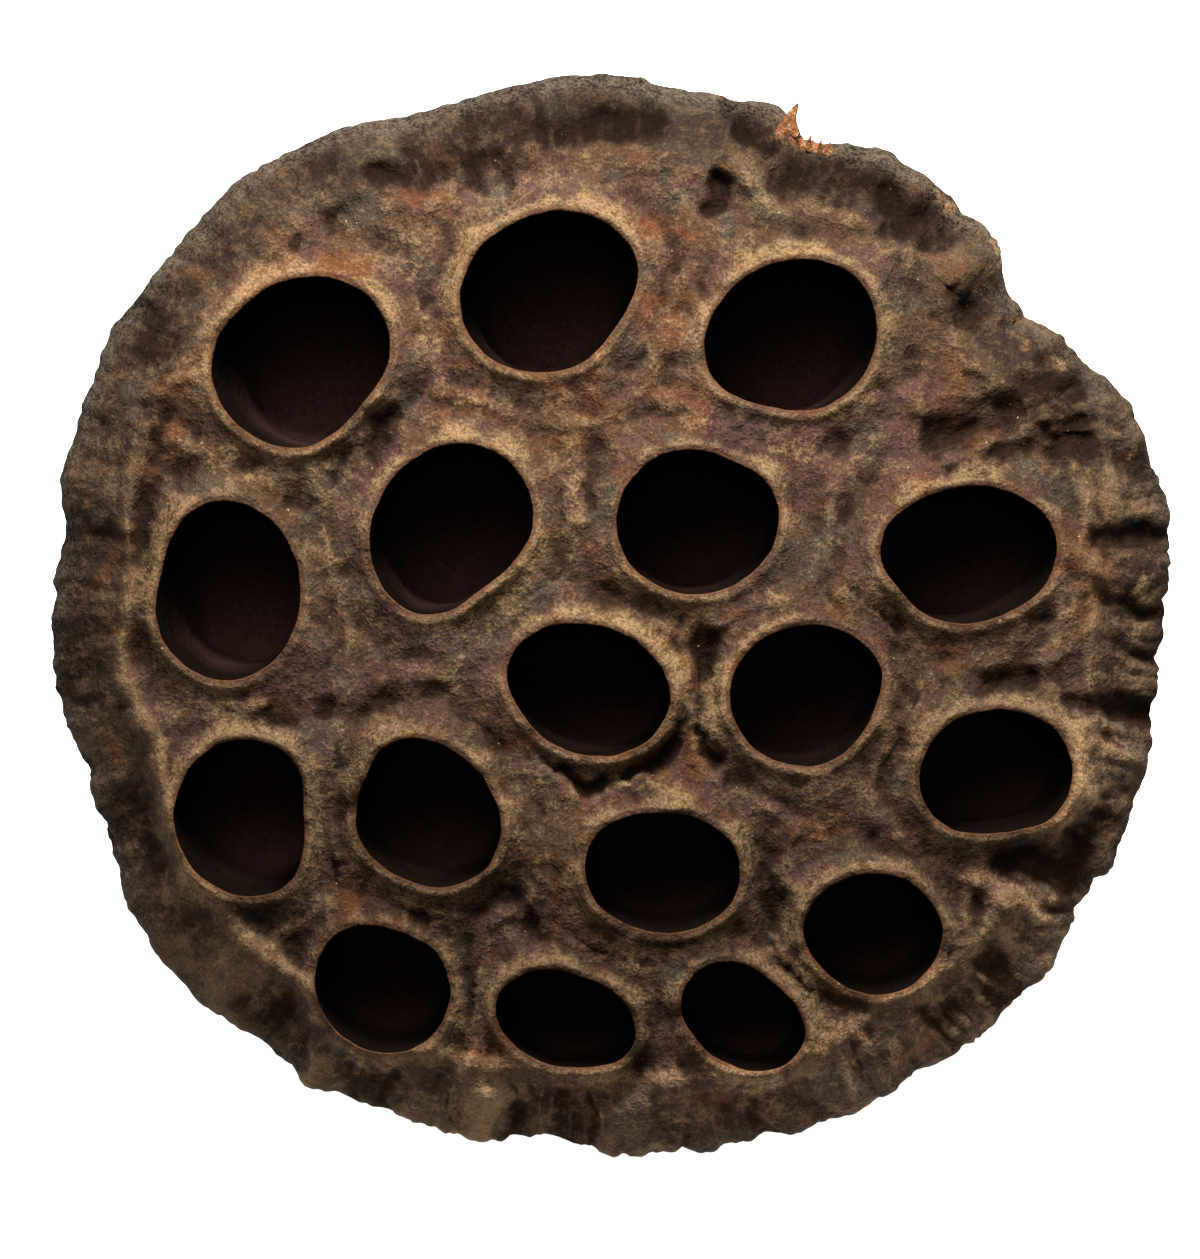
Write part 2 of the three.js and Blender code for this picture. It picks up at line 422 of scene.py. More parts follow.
# How strong a form is round the pod: pairs of degrees from +X towards +Y and a share.
SHOULDERS = (
    (0, 0.8), (45, 0.3), (90, 0.1), (130, 0.3), (160, 0.9), (200, 1.0), (235, 0.9), (280, 0.3),
    (330, 0.6),
)
RIBS = (
    (0, 1.0), (25, 0.7), (50, 0.3), (85, 0.35), (120, 0.35), (160, 0.5), (200, 0.5), (240, 0.9),
    (300, 1.0),
)
FOLDS = (
    (0, 1.0), (35, 1.3), (60, 1.1), (85, 0.9), (110, 0.7), (135, 0.4), (165, 0.8), (200, 0.8),
    (250, 0.9), (300, 0.9), (335, 1.0),
)

# Painted light and shade round the pod, as pairs of degrees and a share that the colour is multiplied by:
# the face is painted darker towards the bottom of the view, and the rim lighter towards the bottom and
# darker at the top, as the light falls.
FACE_PAINTED_LIGHT = (
    (0, 0.84), (45, 0.88), (90, 1.03), (135, 1.03), (180, 0.85), (225, 0.62), (270, 0.66),
    (315, 0.75),
)
RIM_PAINTED_LIGHT = (
    (0, 1.2), (45, 0.74), (90, 0.60), (135, 1.0), (180, 0.75), (225, 1.5), (270, 2.9), (315, 2.9),
)

# Air canals in the cut end of the stem: how many, how far out and how wide, in millimetres.
CANALS = ((8, 5.4, 1.45), (5, 2.3, 0.6), (17, 8.3, 0.45))


class Skin:
    """The pod's surface while it is put together."""

    def __init__(self):
        self.points = []
        self.zones = []
        self.depths = []
        self.faces = []
        self.corners = []
        self.inward = False

    def add(self, points, zone, depth=0.0):
        """New points, and the numbers that they get. depth is how far down or in they are."""
        first = len(self.points)
        self.points.extend(np.asarray(points).tolist())
        self.zones.extend([zone] * len(points))
        self.depths.extend(np.broadcast_to(depth, len(points)).tolist())
        return np.arange(first, first + len(points))

    def face(self, *corners):
        """One face, from the number and the place on the map of each corner."""
        if self.inward:
            corners = corners[::-1]
        numbers, places = zip(*corners)
        self.faces.append(numbers)
        self.corners.extend(places)

    def strip(self, upper, lower, upper_map, lower_map):
        """Joins two closed rows. The lower may have half as many points. Maps have one place more."""
        step = len(upper) // len(lower)
        top = list(zip([*upper, upper[0]], upper_map))
        low = list(zip([*lower, lower[0]], lower_map))
        for j in range(len(lower)):
            a, b, c = top[step * j], top[step * j + 1], top[step * (j + 1)]
            if step == 1:
                self.face(a, low[j], low[j + 1], c)
            else:
                self.face(a, low[j], b)
                self.face(b, low[j], low[j + 1])
                self.face(b, low[j + 1], c)

    def cap(self, ring, ring_map, centre, centre_map):
        """Closes a ring with a fan to one point."""
        edge = list(zip([*ring, ring[0]], ring_map))
        for j in range(len(ring)):
            self.face(edge[j], (centre, centre_map[j]), edge[j + 1])


# The map gives the face most of its room: the underside is a band above it, and the chambers and
# the cut end are cells down its right side.
FACE_MAP = (0.002, 0.802)
SIDE_MAP = (0.808, 0.998)
CELLS_LEFT = 0.808
CELL_COLUMNS = 2
CELL_ROWS = 9


def face_map(points, reach):
    """Places in the face's square, as the points are seen from above."""
    low, high = FACE_MAP
    flat = np.asarray(points)[:, :2]
    return low + (flat / reach * 0.5 + 0.5) * (high - low)


def band_map(share, count):
    """Places along one row of the underside's band; share is 0 at the rim and 1 at the cut."""
    low, high = SIDE_MAP
    across = 0.002 + 0.996 * np.arange(count + 1) / count
    return np.column_stack([across, np.full(count + 1, high - (high - low) * share)])


def cell_map(number, across, up):
    """Places in one of the small cells, with across and up from 0 to 1."""
    column = number % CELL_COLUMNS
    row = number // CELL_COLUMNS
    width = (1 - CELLS_LEFT) / CELL_COLUMNS
    height = FACE_MAP[1] / CELL_ROWS
    gap = 0.003
    u = CELLS_LEFT + column * width + gap + (width - 2 * gap) * across
    v = row * height + gap + (height - 2 * gap) * up
    return np.column_stack([u, v])


def chamber_map(number, share, count):
    """Places round one ring of a chamber; share is 0 at its mouth and 1 at the middle of its floor."""
    return cell_map(number, np.arange(count + 1) / count, np.full(count + 1, 1 - share))


def cut_map(share, count):
    """Places round one ring of the cut end, in the last cell; share is 1 at its edge."""
    turns = np.arange(count + 1) * FULL_TURN / count
    last = CELL_COLUMNS * CELL_ROWS - 1
    return cell_map(last, 0.5 + 0.5 * share * np.cos(turns), 0.5 + 0.5 * share * np.sin(turns))


def splinter_map(number, share):
    """Places round one ring of a splinter, in the free corner of the face's square."""
    low = np.array([0.004 + 0.022 * number, FACE_MAP[1] - 0.10])
    turns = np.arange(SPLINTER_SIDES + 1) / SPLINTER_SIDES
    return low + np.column_stack([0.018 * turns, np.full(SPLINTER_SIDES + 1, 0.095 * share)])


# ---- Growing the skin ----

# How far out of a mouth's edge its rings are, how far in from the rim the rows of the face's edge
# are, and how far below the rim's widest level the first rows of the underside are.
MOUTH_RINGS = (0.0, 0.12, 0.3, 0.55, 0.88)
SHOULDER_INSET = 3.2
RIM_INSETS = np.linspace(SHOULDER_INSET, 0.3, 9)
UNDER_DROPS = np.array([0.35, 0.75, 1.15, 1.55, 2.0, 2.5, 3.0, 3.5])

# Rows of the underside with half and with a quarter of the rim's points.
SIDE_ROWS_HALF = 30
SIDE_ROWS_QUARTER = 26
LOWEST_READ = 0.02

# Turns of smoothing down the rows. After the free ones the face's edge stays as it is.
SMOOTH_TURNS = 60
FREE_TURNS = 5

# Depths of a chamber's rings, how far down its wall widens, and the rings of its floor.
CHAMBER_DEPTHS = (0.16, 0.45, 1.0, 1.9, 3.2, 5.0, 7.0, 9.0)
FLARE_DEPTH = 6
FLOOR_SHARES = (0.35, 0.62, 0.82, 0.95)

# The cut end's rings and its canals' depth, and how a splinter is divided.
CUT_RINGS = 26
CANAL_DEPTH = 1.5
SPLINTER_SIDES = 14
SPLINTER_RINGS = 14

# How far out of its mouth's edge a lip is lightest. Nearer the edge the lip colour gives way, leaving
# painted shade where the edge rolls into the chamber.
LIP_MIDDLE = 0.75


def grow_rim(solid):
    """The rows of points from the face's edge over the rim and down to the cut end."""
    rows = []
    for inset in RIM_INSETS:
        row = turned(solid.outline - inset, solid.angles, 0)
        row[:, 2] = solid.dome(row[:, 0], row[:, 1])
        rows.append(row)
    drops = solid.rim_height - UNDER_DROPS
    side_rows = SIDE_ROWS_HALF + SIDE_ROWS_QUARTER
    for height in [*drops, *(drops[-1] * (1 - np.arange(1, side_rows + 1) / side_rows))]:
        rows.append(turned(solid.reach_at(max(height, LOWEST_READ)), solid.angles, height))
    grid = np.array(rows)
    firm = len(RIM_INSETS)
    for turn in range(SMOOTH_TURNS):
        middle = (grid[:-2] + 2 * grid[1:-1] + grid[2:]) / 4
        if turn >= FREE_TURNS:
            middle[: firm + 3] = grid[1 : firm + 4]
        grid[1:-1] = middle
    radius = np.hypot(grid[..., 0], grid[..., 1])
    widest = radius.max(axis=0)
    near = ease(-np.abs(grid[..., 2] - solid.rim_height), -15, -6) * ease(radius, 30, 42)
    near *= np.minimum(np.arange(len(grid)) / firm, 1)[:, None]
    grid[..., :2] *= (1 + near * (solid.outline - widest) / widest)[..., None]
    return grid


def lay_rim(skin, grid, reach):
    """Adds the rim's and the side's rows to the skin. Returns the first and the last row's points."""
    coarse_from = len(RIM_INSETS) + len(UNDER_DROPS)
    quarter_from = coarse_from + SIDE_ROWS_HALF
    turn_row = len(RIM_INSETS) - 1
    across = np.hypot(grid[..., 0], grid[..., 1]).mean(axis=1)
    steps = np.linalg.norm(np.diff(np.column_stack([across, grid[..., 2].mean(axis=1)]), axis=0), axis=1)
    run = np.concatenate([[0], np.cumsum(steps)])
    depths = run - run[turn_row]
    first = previous = None
    for row, line in enumerate(grid):
        every = 1 if row < coarse_from else 2 if row < quarter_from else 4
        points = line[::every]
        on_face = row <= turn_row
        numbers = skin.add(points, FACE if on_face else SIDE, depths[row])
        flat = face_map(np.vstack([points, points[:1]]), reach)
        band = band_map(np.clip(depths[row] / depths[-1], 0, 1), len(points))
        if previous is None:
            first = numbers
        else:
            places = (previous[1], flat) if on_face else (previous[2], band)
            skin.strip(previous[0], numbers, *places)
        previous = (numbers, flat, band)
    return first, previous[0]


def grow_mouth(solid, skin, mouth, reach):
    """The rings round a mouth and the chamber below it. Returns the outermost ring's points."""
    rings = []
    places = []
    for out in MOUTH_RINGS:
        flat = mouth.ring(out)
        points = np.column_stack([flat, solid.dome(flat[:, 0], flat[:, 1])])
        rings.append(skin.add(points, FACE))
        places.append(face_map(np.vstack([points, points[:1]]), reach))
    for inner, outer, inner_map, outer_map in zip(rings, rings[1:], places, places[1:]):
        skin.strip(inner, outer, inner_map, outer_map)
    skin.inward = True
    grow_chamber(skin, mouth, rings[0])
    skin.inward = False
    return rings[-1]


def chamber_rings(mouth, edge_heights):
    """A chamber's rings going down: which points are kept, their reach, heights and depth."""
    undercut = bpy.context.scene.pod_shape.undercut / MM
    span = mouth.height - mouth.low
    below = mouth.low - mouth.floor
    rings = []
    for index, depth in enumerate([depth for depth in (*CHAMBER_DEPTHS, span) if depth <= span]):
        share = depth / span
        flare = undercut * max(math.sin(math.pi * min(depth / FLARE_DEPTH, 1)), 0) ** 0.8
        reach = mouth.reach * (1 - share) + mouth.deep_reach * share + flare
        if index == 0:
            reach = mouth.reach - 0.04
        level = min(depth / 3, 1)
        heights = edge_heights * (1 - level) + mouth.height * level - depth
        rings.append((1 if index < 2 else 2, reach, heights, depth))
    for share in FLOOR_SHARES:
        reach = mouth.deep_reach * math.sqrt(1 - share**2.2) ** 0.9
        heights = np.full(MOUTH_POINTS, mouth.low - below * share)
        rings.append((2, reach, heights, span + below * share))
    return rings


def grow_chamber(skin, mouth, edge):
    """The wall below a mouth's edge and the rounded floor."""
    whole = mouth.height - mouth.floor
    previous, previous_map = edge, chamber_map(mouth.number, 0, MOUTH_POINTS)
    for every, reach, heights, depth in chamber_rings(mouth, np.array([skin.points[i][2] for i in edge])):
        ring = turned(reach[::every], mouth.angles[::every], heights[::every]) + [mouth.x, mouth.y, 0]
        numbers = skin.add(ring, CHAMBER, depth)
        places = chamber_map(mouth.number, depth / whole, len(ring))
        skin.strip(previous, numbers, previous_map, places)
        previous, previous_map = numbers, places
    centre = skin.add([[mouth.x, mouth.y, mouth.floor]], CHAMBER, whole)[0]
    half_step = (previous_map[1] - previous_map[0]) / 2
    skin.cap(previous, previous_map, centre, chamber_map(mouth.number, 1, len(previous)) + half_step)


def grow_cut(skin, last):
    """The cut end of the stem, from the side's last row in to the middle."""
    rim = np.array([skin.points[i] for i in last])
    previous, previous_map = last, cut_map(1, len(last))
    for ring in range(1, CUT_RINGS):
        share = 1 - ring / CUT_RINGS
        numbers = skin.add(rim * [share, share, 1], CUT)
        places = cut_map(share, len(last))
        skin.strip(previous, numbers, previous_map, places)
        previous, previous_map = numbers, places
    centre = skin.add([[0, 0, 0]], CUT)[0]
    skin.cap(previous, previous_map, centre, cut_map(0, len(last)))


def grow_splinter(solid, skin, number, splinter):
    """One flat, tapering splinter, closed at its foot, which is inside the rim."""
    x1, y1, x2, y2, width, up = splinter
    foot = np.array([x1, y1, solid.rim_height + up])
    tip = np.array([x2, y2, foot[2] + 0.3])
    along = (tip - foot) / np.linalg.norm(tip - foot)
    across = np.array([along[1], -along[0], 0]) / np.hypot(along[0], along[1])
    over = np.cross(across, along)
    turns = np.arange(SPLINTER_SIDES) * FULL_TURN / SPLINTER_SIDES
    ragged = 1 + 0.12 * np.sin(turns * 5 + number) + 0.08 * np.sin(turns * 3 + 2 * number)
    middle = skin.add([foot - 0.3 * along], SHRED)[0]
    previous = None
    for step in range(SPLINTER_RINGS):
        share = step / SPLINTER_RINGS
        half = 0.5 * width * (1 - share) ** 0.85 * (1 + 0.10 * math.sin(9 * share + number))
        lean = -0.16 * width * math.sin(math.pi * share)
        centre = foot + (tip - foot) * share + across * lean
        ring = centre + np.outer(half * ragged * np.cos(turns), across)
        ring += np.outer(0.42 * half * ragged * np.sin(turns), over)
        numbers = skin.add(ring, SHRED)
        places = splinter_map(number, share)
        if previous is None:
            skin.cap(numbers, places, middle, places)
        else:
            skin.strip(numbers, previous[0], places, previous[1])
        previous = (numbers, places)
    end = skin.add([tip], SHRED)[0]
    skin.inward = True
    skin.cap(*previous, end, splinter_map(number, 1))
    skin.inward = False


def fill_face(solid, skin, shoulder, mouth_rings, reach):
    """Fills the face between the shoulder and the mouths with evenly spread triangles."""
    spacing = FACE_SPACING
    clear = 0.6 * spacing
    rows = np.arange(-reach, reach, spacing * math.sqrt(0.75))
    columns = np.arange(-reach, reach, spacing)
    x, y = np.meshgrid(columns, rows)
    x = x + np.where(np.arange(len(rows)) % 2, spacing / 2, 0)[:, None]
    x, y = x.ravel(), y.ravel()
    radius = np.hypot(x, y)
    keep = radius < solid.rim_reach(np.arctan2(y, x)) - SHOULDER_INSET - clear
    for mouth in solid.mouths:
        keep &= mouth.from_edge(x, y) > MOUTH_RINGS[-1] + clear
    x, y = x[keep], y[keep]
    inner = skin.add(np.column_stack([x, y, solid.dome(x, y)]), FACE)
    loops = [shoulder, *mouth_rings]
    numbers = np.concatenate([*loops, inner])
    points = np.array([skin.points[i][:2] for i in numbers])
    edges = []
    first = 0
    for loop in loops:
        edges += [(first + j, first + (j + 1) % len(loop)) for j in range(len(loop))]
        first += len(loop)
    made = geometry.delaunay_2d_cdt([Vector(p) for p in points.tolist()], edges, [], 2, 1e-6, True)
    if len(made[0]) != len(points):
        raise RuntimeError("the face's fill added or lost points")
    order = np.array([group[0] for group in made[3]])
    triangles = order[np.array(made[2])]
    triangles = triangles[~off_face(points, triangles, [len(loop) for loop in loops])]
    places = face_map(points, reach)
    for triangle in triangles:
        skin.face(*zip(numbers[triangle], places[triangle]))


def off_face(points, triangles, loop_sizes):
    """Which triangles lie across a mouth or outside the shoulder.

    Their corners are all on one loop. Taken in the loop's order they turn with it inside it and
    against it outside it.
    """
    owner = np.full(len(points), -1)
    owner[: sum(loop_sizes)] = np.repeat(np.arange(len(loop_sizes)), loop_sizes)
    owners = owner[triangles]
    one_loop = (owners[:, 0] >= 0) & (owners == owners[:, :1]).all(axis=1)
    a, b, c = (points[column] for column in np.sort(triangles, axis=1).T)
    turn = (b[:, 0] - a[:, 0]) * (c[:, 1] - a[:, 1]) - (b[:, 1] - a[:, 1]) * (c[:, 0] - a[:, 0])
    return one_loop & np.where(owners[:, 0] == 0, turn < 0, turn > 0)


def grow_skin(solid):
    """The whole bare skin, with no lips or wrinkles yet."""
    skin = Skin()
    reach = float(solid.outline.max()) + 1.2
    first, last = lay_rim(skin, grow_rim(solid), reach)
    mouth_rings = [grow_mouth(solid, skin, mouth, reach) for mouth in solid.mouths]
    fill_face(solid, skin, first, mouth_rings, reach)
    grow_cut(skin, last)
    for number, splinter in enumerate(SPLINTERS):
        grow_splinter(solid, skin, number, splinter)
    return skin


def mesh_from(name, skin):
    mesh = bpy.data.meshes.new(name)
    faces = [[int(number) for number in face] for face in skin.faces]
    mesh.from_pydata((np.array(skin.points) * MM).tolist(), [], faces)
    layer = mesh.uv_layers.new(name=MAP_NAME)
    layer.uv.foreach_set("vector", np.array(skin.corners, np.float32).ravel())
    mesh.polygons.foreach_set("use_smooth", np.ones(len(mesh.polygons), bool))
    mesh.validate()
    return mesh


# ---- Relief ----


class Relief:
    """Where each point of the skin is in the pod's own terms, and how far its forms lift it."""

    # Heights of the ridges between mouths and along the shoulder and the drop beyond it, how far
    # in from the rim the shoulder is, and how far single folds and creased skin are bent.
    midway_rise = 0.55
    shoulder_rise = 0.9
    shoulder_drop = 0.7
    shoulder_inset = 6.6
    fold_bend = 0.9
    skin_bend = 1.2

    def __init__(self, solid, skin, shape):
        self.solid = solid
        self.shape = shape
        self.seed = shape.seed
        self.points = np.array(skin.points)
        self.flat = self.points * [1, 1, 0]
        self.zone = np.array(skin.zones)
        self.depth = np.array(skin.depths)
        x, y = self.points[:, 0], self.points[:, 1]
        self.angle = np.arctan2(y, x)
        self.radius = np.hypot(x, y)
        self.inset = solid.rim_reach(self.angle) - self.radius
        self.on_face = self.zone == FACE
        self.on_side = self.zone == SIDE
        self.outside = self.on_face | self.on_side
        self.in_chamber = self.zone == CHAMBER
        # How far in from the rim's edge, or below 0, how far down the underside.
        self.run_in = np.where(self.on_face, self.inset, -self.depth)
        self.rim = np.where(self.on_face, ease(-self.inset, -9, -3.5), self.on_side)

        distances = np.array([mouth.from_edge(x, y) for mouth in solid.mouths])
        nearest = np.argmin(distances, axis=0)
        self.edge, self.second_edge = np.sort(distances, axis=0)[:2]
        middles = np.array([(mouth.x, mouth.y) for mouth in solid.mouths])[nearest]
        turn = np.arctan2(y - middles[:, 1], x - middles[:, 0])
        ring = turned(3, turn, 9.7 * nearest)
        self.uneven = self.noise(2.0, 40, 3, ring)
        self.lip_spread = shape.lip_spread / MM * (1 + 0.5 * self.noise(2.9, 41, 2, ring))
        self.form = self.single_forms()

    def noise(self, size, number, octaves=1, at=None):
        """Smooth noise of the pod's own, with another pattern for each number."""
        return noise_at(self.points if at is None else at, size, self.seed + number, octaves)

    def creases(self, size, number, at=None):
        """Rounded swells, 1 on their tops, with sharp creases between them down to 0."""
        return np.minimum(np.abs(self.noise(size, number, 1, at)) * 2.6, 1)

    def lip_rise(self):
        """The collar that rises to a mouth, with the crisp bead on its edge."""
        out = np.maximum(self.edge, 0)
        spread = self.lip_spread
        collar = np.exp(-((out / spread) ** 1.5)) - 0.24 * np.exp(-(((out - 1.9 * spread) / 1.1) ** 2))
        crest = self.shape.lip_crest / MM
        bead = np.exp(-(((out - crest) / (0.34 + 0.2 * self.uneven)) ** 2))
        rise = collar * (1 + 0.3 * self.uneven) + 0.26 * bead * (1 + 0.8 * self.uneven)
        return self.shape.lip_height / MM * rise

    def brink_line(self):
        """1 along the rolled edge of the rim."""
        return np.exp(-(((np.abs(self.run_in) - 0.5) / 1.0) ** 2)) * self.outside

    def broken(self):
        """Where the rim is broken, and how fresh it is there, both as 0 to 1."""
        x, y, z = self.points.T
        rough = 1 + 0.6 * self.noise(0.7, 81, 2)
        share = np.zeros(len(x))
        fresh = np.zeros(len(x))
        for middle_x, middle_y, spread, freshness in BREAKS:
            away = np.hypot(x - middle_x, y - middle_y) / (spread * rough)
            here = ease(-away, -1.35, -0.7) * np.exp(-np.abs(z - self.solid.rim_height) / 9)
            fresh = np.where(here > share, freshness, fresh)
            share = np.maximum(share, here)
        shred = self.zone == SHRED
        return np.where(shred, 1, share), np.where(shred, 0.9, fresh)

    def crumbs(self, broken):
        """The crumbled surface of the broken places."""
        rise = 0.35 * self.creases(0.9, 82) - 0.25
        return (rise + 0.25 * self.noise(0.45, 83)) * broken * self.outside

    def between_mouths(self):
        """1 along the lines midway between two mouths, fading near the lips and in open places."""
        middle = np.exp(-(((self.second_edge - self.edge) / 1.7) ** 2))
        return middle * ease(self.edge, 0.9, 2.4) * ease(-self.edge, -7, -4)

    def shoulder_line(self):
        """1 along the ridge where the face turns down to the rim's band."""
        away = self.shoulder_inset + 0.8 * self.noise(12, 51, 1, self.flat)
        return np.exp(-(((self.inset - away) / 0.8) ** 2)) * side_share(self.angle, SHOULDERS)

    def face_rise(self):
        """How far the broad forms lift the face, straight up.

        The chambers' tops and the first rows of the underside move with it.
        """
        rise = self.lip_rise()
        rise += self.shape.swell / MM * self.noise(12, 0, 3, self.flat) * ease(self.inset, 0.5, 6)
        rise += self.midway_rise * self.between_mouths() * (0.7 + 0.8 * self.noise(5, 50, 2, self.flat))
        rise += self.shoulder_rise * self.shoulder_line()
        rise -= self.shoulder_drop * ease(-self.inset, -6, -3.5) * side_share(self.angle, SHOULDERS)
        rise += self.form * ease(self.edge, 0.2, 1.2)
        weight = np.where(self.in_chamber, np.clip(1 - self.depth / 3, 0, 1), self.on_face)
        return rise * np.where(self.on_side, np.exp(-self.depth / 3.5), weight)

    def single_forms(self):
        """The listed folds and grooves, bent a little so that none runs straight."""
        x = self.points[:, 0] + self.fold_bend * self.noise(3.2, 71, 3, self.flat)
        y = self.points[:, 1] + self.fold_bend * self.noise(3.2, 72, 3, self.flat)
        ridges = np.zeros(len(x))
        grooves = np.zeros(len(x))
        for x1, y1, x2, y2, width, height in FACE_FORMS:
            run = np.hypot(x2 - x1, y2 - y1)
            along = ((x - x1) * (x2 - x1) + (y - y1) * (y2 - y1)) / run
            past = along - np.clip(along, 0, run)
            off = np.abs((y - y1) * (x2 - x1) - (x - x1) * (y2 - y1)) / run
            one = height * np.exp(-((np.hypot(off, past) / width) ** 2))
            ridges = np.maximum(ridges, one)
            grooves = np.minimum(grooves, one)
        uneven = 0.95 + 0.7 * self.noise(3.6, 73, 2, self.flat)
        return (ridges + grooves) * np.clip(uneven, 0.3, 1.5)

    def wrinkles(self):
        """Creased, shrunken skin between the lips."""
        points = self.points * [1, 1, 0.3]
        warp = np.column_stack([self.noise(7, n, 2, points) for n in (1, 2, 3)])
        moved = points + self.skin_bend * warp
        lumps = self.noise(4.0, 7, 3, moved)
        creases = self.creases(6.5, 4, moved) - 0.7
        fine = self.creases(2.6, 5, moved) - 0.6
        pits = self.noise(0.8, 6, 2, moved)
        rise = lumps * 0.6 + creases * 0.32 + fine * 0.10 + pits * 0.12
        return self.shape.wrinkle / MM * rise * ease(self.edge, 0.4, 2.2) * self.on_face

    def rim_flow(self, size, seed, sway):
        """Places along the rim and out over it, swayed sideways."""
        sway = sway * self.noise(size, seed, 2)
        sideways = turned(1, self.angle + math.pi / 2, 0)
        return turned(MEAN_RIM, self.angle, self.run_in) + sideways * sway[:, None]

    def rim_weight(self, low, high, fall, clear):
        """How strong a form of the rim is: less in over the face, by the lips and down the side."""
        face = ease(-self.inset, low, high) * ease(self.edge, *clear)
        return np.where(self.on_face, face, np.exp(-self.depth / fall)) * self.outside

    def folds(self):
        """Big folds that run out over the rim."""
        swells = self.noise((5.5, 5.5, 26), 62, 1, self.rim_flow(9, 61, 2.4))
        weight = self.rim_weight(-10, -4, 11, (1, 3)) * side_share(self.angle, FOLDS)
        return self.shape.fold / MM * swells * weight

    def ribs(self):
        """Ribs that run out over the rim and make its edge uneven."""
        flow = self.rim_flow(6, 11, 1.3)
        coarse = self.creases((3.4, 3.4, 14), 12, flow)
        fine = self.creases((1.5, 1.5, 9), 13, flow)
        uneven = 0.75 + 0.5 * self.noise(16, 14)
        weight = self.rim_weight(-8.5, -1.5, 7, (0.8, 2.5)) * side_share(self.angle, RIBS)
        rise = (coarse - 0.6) * 0.75 + (fine - 0.6) * 0.45
        return self.shape.rib / MM * rise * weight * uneven

    def veins(self):
        """Long veins and folds down the underside."""
        warp = self.noise(14, 21, 2)
        flow = turned(MEAN_RIM, self.angle + 0.05 * warp, np.clip(self.depth, 0, 80))
        coarse = self.creases((7.5, 7.5, 60), 22, flow)
        fine = self.creases((2.9, 2.9, 22), 23, flow)
        dents = self.noise(13, 24, 3)
        size = np.clip(self.radius / 42, 0.15, 1) * ease(self.depth, 0.5, 7) * ease(self.points[:, 2], 0, 5)
        rise = (coarse - 0.6) * 0.9 + (fine - 0.6) * 0.45 + dents
        return self.shape.vein / MM * rise * size * self.on_side

    def canals(self):
        """1 in the air canals of the cut end."""
        share = np.zeros(len(self.points))
        for count, out, half in CANALS:
            for number in range(count):
                turn = FULL_TURN * (number + 0.25 * math.sin(7 * number + out)) / count
                x, y = out * math.cos(turn), out * math.sin(turn)
                away = np.hypot(self.points[:, 0] - x, self.points[:, 1] - y) / half
                share = np.maximum(share, ease(-away, -1.1, -0.7))
        return share * (self.zone == CUT)

    def lining(self):
        """Slight unevenness of the chambers' walls."""
        rise = self.noise((2.2, 2.2, 5.0), 31, 2)
        return 0.16 * rise * ease(self.depth, 0.5, 2.5) * self.in_chamber

    def lip_paint(self):
        """1 on the crest of a lip, falling away unevenly on its outer side and quickly towards the mouth's
        edge, which is left darker as painted shade.
        """
        past = self.edge - LIP_MIDDLE
        outer = past / np.maximum(0.66 + 1.4 * self.uneven, 0.2)
        away = np.where(past > 0, outer, -past / 0.62)
        return np.exp(-(away**2)) * np.clip(0.78 + 1.2 * self.uneven, 0.15, 1.05) * self.on_face

    def painted_light(self):
        """Painted light and shade: how much the skin's colour is multiplied here, darker towards the bottom
        of the face and lighter towards the bottom of the rim.
        """
        face = 1 + ease(self.radius, 8, 26) * (side_share(self.angle, FACE_PAINTED_LIGHT) - 1)
        above = np.where(self.on_side, ease(-self.depth, -9, -2), 1)
        rim = 1 + above * (side_share(self.angle, RIM_PAINTED_LIGHT) - 1)
        return face + self.rim * (rim - face)


def neighbour_mean(values, edges, counts):
    """Each point's values averaged with its neighbours'."""
    total = np.zeros_like(values)
    for axis in range(values.shape[1]):
        total[:, axis] = np.bincount(edges[:, 0], values[edges[:, 1], axis], len(values))
        total[:, axis] += np.bincount(edges[:, 1], values[edges[:, 0], axis], len(values))
    return 0.5 * values + 0.5 * total / counts[:, None]


def read_rows(items, name):
    """One three-part value of each of a mesh's items, as rows."""
    values = np.zeros(len(items) * 3)
    items.foreach_get(name, values)
    return values.reshape(-1, 3)


def hollowness(mesh, turns):
    """How far each point lies below the smoothed surface round it, in millimetres."""
    points = read_rows(mesh.vertices, "co") / MM
    edges = np.zeros(len(mesh.edges) * 2, np.int32)
    mesh.edges.foreach_get("vertices", edges)
    counts = np.maximum(np.bincount(edges, minlength=len(points)), 1)
    smooth = points
    for _ in range(turns):
        smooth = neighbour_mean(smooth, edges.reshape(-1, 2), counts)
    return np.einsum("ij,ij->i", smooth - points, read_rows(mesh.vertex_normals, "vector"))


def set_points(mesh, points):
    """Moves every point of a mesh, in metres."""
    mesh.vertices.foreach_set("co", points.ravel())
    mesh.update()


def raise_forms(mesh, relief, broken):
    """Lifts the face's broad forms straight up, then everything else square to the skin."""
    points = relief.points.copy()
    points[:, 2] += relief.face_rise() + CANAL_DEPTH * relief.canals()
    set_points(mesh, points * MM)
    rise = relief.wrinkles() + (relief.folds() + relief.ribs()) + relief.veins() + relief.lining()
    rise += relief.crumbs(broken)
    normals = read_rows(mesh.vertex_normals, "vector")
    set_points(mesh, read_rows(mesh.vertices, "co") + normals * rise[:, None] * MM)


